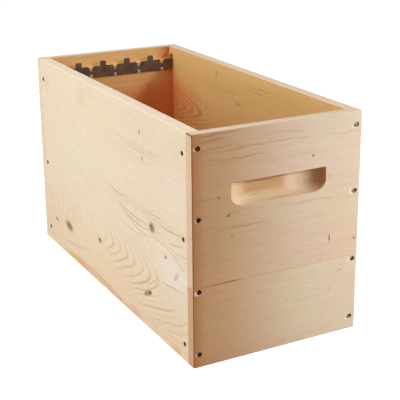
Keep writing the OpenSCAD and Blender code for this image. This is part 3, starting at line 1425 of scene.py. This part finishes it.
RIGHT_GRAIN = Grain(
    GrainRun.LENGTHWISE, heart_along=120, heart_across=200, ring_gap=5.4, seed=11.4, taper=0.2,
    core=10.5, band=0.3, plain=0.06, contrast=1.0, wander=6, wave=4, ripple=1.2,
    figures=(
        Figure(205, 200, 100, 32), Figure(-20, 262, 130, 18, 0.25), Figure(-80, 110, 160, 60, 0.4),
    ),
    tints=(Tint(Faces.INNER, Way.ACROSS, 190, 275, paint(236, 236, 230)),),
    marks=(
        *MarkKind.RED_KNOT.at((220, 205, 62, 36, 0, 0.5), softness=0.8, faces=Faces.INNER),
        *MarkKind.SPECK.at((84.5, 272, 1.8, 6, 15, 0.35), faces=Faces.INNER),
        *MarkKind.SPECK.at((19.5, 239, 8, 2.8, 0, 0.25), faces=Faces.INNER),
        *lines((-35, 267, 30, 0, 0.4), (-60, 274, 40, -1, 0.3), (80, 252, 45, -2, 0.3)),
        *MarkKind.KNOT.at((-50, 90, 9, 6, 0, 0.8, 4)),
    ),
)
# Painted shade: the front boards grow darker and warmer towards their left end, away from the lamps on
# the right.
LEFT_PAINTED_SHADE = Tint(Faces.BROAD, Way.ALONG, 60, -125, paint(222, 188, 152))
GRUBBY = Tint(Faces.BROAD, Way.ALONG, -98, -117, paint(236, 214, 196))
# Darker in a narrow band along the left edge of the front boards.
LEFT_EDGE_BAND = Tint(Faces.BROAD, Way.ALONG, -115, -117, paint(188, 150, 122))
# The handhold's cut faces turn darker and yellower above its lower edge: partly the cut's own yellower
# tone, partly painted shade inside the recess.
RECESS_SHADE_AND_YELLOWING = Tint(Faces.HANDHOLD, Way.ACROSS, 196.5, 207, paint(208, 185, 156))
# Painted shade at the handhold's right end, which faces away from the lamps on the right.
HANDHOLD_RIGHT_SHADE = Tint(Faces.HANDHOLD, Way.ALONG, 36, 62, paint(216, 178, 152))
FRONT_UPPER_GRAIN = Grain(
    GrainRun.CROSSWISE, heart_along=-50, heart_across=360, ring_gap=14, seed=21.7, contrast=0.14,
    lean=2.2, wander=50, wave=14, tints=(LEFT_PAINTED_SHADE, GRUBBY, LEFT_EDGE_BAND, RECESS_SHADE_AND_YELLOWING, HANDHOLD_RIGHT_SHADE),
    marks=(
        *MarkKind.SPECK.at(
            (-82.5, 210, 1.6, 1.8, 0, 0.6), (-69.5, 186, 2.1, 1.5, 0, 0.8), (-65, 160, 1.1, 1.1, 0, 0.7),
            (46.7, 241.5, 1.4, 1.3, 0, 0.9), (73.5, 131.5, 1, 4.6, 0, 0.8), (111, 124.7, 1.4, 2, 0, 0.6),
        ),
        *MarkKind.CRACK.at(
            (-20, 216.8, 23, 0.8, -2, 0.6), (-78, 102.5, 26, 0.9, 1, 0.8), (0, 102, 125, 0.7, 0, 0.18),
        ),
        *MarkKind.SPECK.at((-116.8, 288, 1.2, 1.1, 0, 0.8)),
        *lines(
            (0, 266, 100, 0, 0.55), (-65, 255.5, 55, -2, 0.5), (10, 277, 56, -4, 0.4),
            (-88, 284.5, 30, 0, 0.7), (-94, 279, 23, 2, 0.65), (-90, 270, 28, 3, 0.55),
            (-104, 210, 14, 4, 0.45), (-61, 189, 20, 8, 0.55), (-67, 170, 50, 2, 0.45),
            (65, 184.5, 48, -2, 0.35), wobble=16,
        ),
        *lines(
            (-10, 219, 50, -1, 0.6), (20, 213, 40, 1, 0.4), (45, 208, 22, 4, 0.5), (48, 217, 18, -3, 0.6),
        ),
        # Painted light on the handhold's lit left end and on its back right of the middle.
        *MarkKind.PAINTED_LIGHT.at((-60, 203, 15, 16, 0, 0.35), softness=0.7, faces=Faces.HANDHOLD),
        *MarkKind.PAINTED_LIGHT.at((32, 211, 16, 18, 0, 0.8), softness=0.5, faces=Faces.HANDHOLD),
    ),
)
FRONT_LOWER_GRAIN = Grain(
    GrainRun.CROSSWISE, heart_along=100, heart_across=-250, ring_gap=11, seed=33.2, contrast=0.08,
    wander=40, wave=12, tints=(LEFT_PAINTED_SHADE, GRUBBY, LEFT_EDGE_BAND),
    marks=(
        *MarkKind.SPECK.at((90.5, 85, 4, 1.1, 0, 0.25), (75, 62.7, 1.5, 2, 0, 0.22)),
        *MarkKind.CRACK.at((0, 102, 125, 0.6, 0, 0.18)),
    ),
)
REAR_UPPER_GRAIN = Grain(
    GrainRun.CROSSWISE, heart_along=60, heart_across=160, ring_gap=10, seed=47.9, stretch=0.25,
    contrast=0.32,
    tints=(
        # Painted shade inside: darker and redder towards the bottom, and towards the right corner where
        # the right wall's shadow falls.
        Tint(Faces.INNER, Way.ACROSS, 250, 200, paint(246, 206, 184)),
        Tint(Faces.INNER, Way.ALONG, 70, 101, paint(226, 176, 150)),
    ),
    marks=(
        # Painted shade: the right wall's shadow, dark red, low on the inside near the right corner.
        *MarkKind.PAINTED_RED_SHADE.at((95, 175, 80, 68, 0, 0.9), softness=0.4, faces=Faces.INNER),
        *MarkKind.KNOT.at((40, 150, 6, 5, 0, 0.8, 4)),
    ),
)
REAR_LOWER_GRAIN = Grain(GrainRun.CROSSWISE, heart_along=-30, heart_across=-100, ring_gap=10, seed=52.6)
FLOOR_GRAIN = Grain(
    GrainRun.LYING, heart_along=-60, heart_across=30, ring_gap=10, seed=64.3, taper=0.25, contrast=0.5,
)


def pine_board(name: str, slot: str, tones: PineTones, grain: Grain, nailed: str) -> Board:
    """Makes a board whose CAD node and finish are named alike, and that takes the nails of one face."""
    return Board(name + "_board", slot, PineFinish(name + "_pine", tones, grain), nailed)


BOARDS = (
    pine_board("left_side", "side_pine", SIDE_TONES, LEFT_GRAIN, "left_side"),
    pine_board("right_side", "side_pine", RIGHT_TONES, RIGHT_GRAIN, "right_side"),
    pine_board("front_upper", "end_pine", UPPER_END_TONES, FRONT_UPPER_GRAIN, "front_face"),
    pine_board("front_lower", "end_pine", LOWER_END_TONES, FRONT_LOWER_GRAIN, "front_face"),
    pine_board("rear_upper", "end_pine", REAR_TONES, REAR_UPPER_GRAIN, "rear_face"),
    pine_board("rear_lower", "end_pine", REAR_TONES, REAR_LOWER_GRAIN, "rear_face"),
    Board("floor_panel", "floor_ply", PineFinish("floor_ply", FLOOR_TONES, FLOOR_GRAIN)),
)

SPACER_METAL = MetalFinish(
    "spacer_metal", paint(116, 90, 74), paint(90, 68, 57), paint(156, 132, 116),
    roughness=0.55, metallic=0.35,
)
BRIGHT_NAIL = MetalFinish(
    "bright_nail", paint(206, 204, 200), paint(176, 170, 164), paint(225, 224, 222),
    roughness=0.35, metallic=0.9,
)
DARK_NAIL = MetalFinish(
    "dark_nail", paint(96, 58, 28), paint(36, 16, 5), paint(124, 96, 70),
    roughness=0.6, metallic=0.1, gloss=0.06, grit=260.0, blend=0.06,
)
# Painted glints: near-white patches on dark heads stand in for the lamps' reflections.
PAINTED_GLINT_NAIL = replace(
    DARK_NAIL, name="painted_glint_nail", base=paint(58, 34, 16), blotch_and_glint=paint(246, 230, 206), blend=0.04,
)
FADED_NAIL = replace(DARK_NAIL, name="faded_nail", base=paint(132, 98, 64), blotch_and_glint=paint(70, 44, 24))

SIDE_NAILS = tuple(f"{side}_side_{end}_nails" for side in ("left", "right") for end in ("front", "rear"))
BOX_WEAR = (
    NailWear(("front_face_left_nails", "rear_face_right_nails", "floor_nails"), DARK_NAIL),
    # These nails show painted glints and a larger pale mark of painted light beside each hole.
    NailWear(("front_face_right_nails", "rear_face_left_nails"), PAINTED_GLINT_NAIL, torn_and_lit=5.4, bruised_and_shaded=3.9),
    NailWear(SIDE_NAILS, FADED_NAIL, darkness=0.55),
)
SPACER_WEAR = NailWear(("front_spacer_nails", "rear_spacer_nails"), BRIGHT_NAIL)
BOX_NAIL = NailForm(
    "box_nails", "dark_nail", head_width=5.6 * MM, head_height=1.2 * MM, shank_width=2.8 * MM,
    length=45 * MM, point=4 * MM,
)
SPACER_NAIL = NailForm(
    "spacer_nails", "bright_nail", head_width=5 * MM, head_height=1.2 * MM, shank_width=1.8 * MM,
    length=19.2 * MM, point=1 * MM, tilt=0.0,
)


class NucBox:
    """The whole box: boards, floor, spacers and nails."""

    def __init__(self) -> None:
        """Reads where the nails are."""
        self.box_nails = [NailGroup(node, wear) for wear in BOX_WEAR for node in wear.nodes]
        self.spacer_nails = [NailGroup(node, SPACER_WEAR) for node in SPACER_WEAR.nodes]

    def dress(self) -> None:
        """Dresses every piece of the box."""
        nails = [nail for group in self.box_nails + self.spacer_nails for nail in group.nails]
        for board in BOARDS:
            board.bruised_and_shaded(self.box_nails).dress(nails)
        for end in ("front", "rear"):
            Spacer(end + "_frame_spacer", "spacer_metal", SPACER_METAL).dress()
        for wear in BOX_WEAR:
            BOX_NAIL.lay(wear.finish, [group for group in self.box_nails if group.wear is wear])
        SPACER_NAIL.lay(SPACER_WEAR.finish, self.spacer_nails)


def main() -> None:
    """Builds the scene."""
    logging.basicConfig(level=logging.INFO, format="%(name)s %(message)s")
    Viewpoint().set_up()
    Studio().set_up()
    NucBox().dress()


if __name__ == "__main__":
    main()
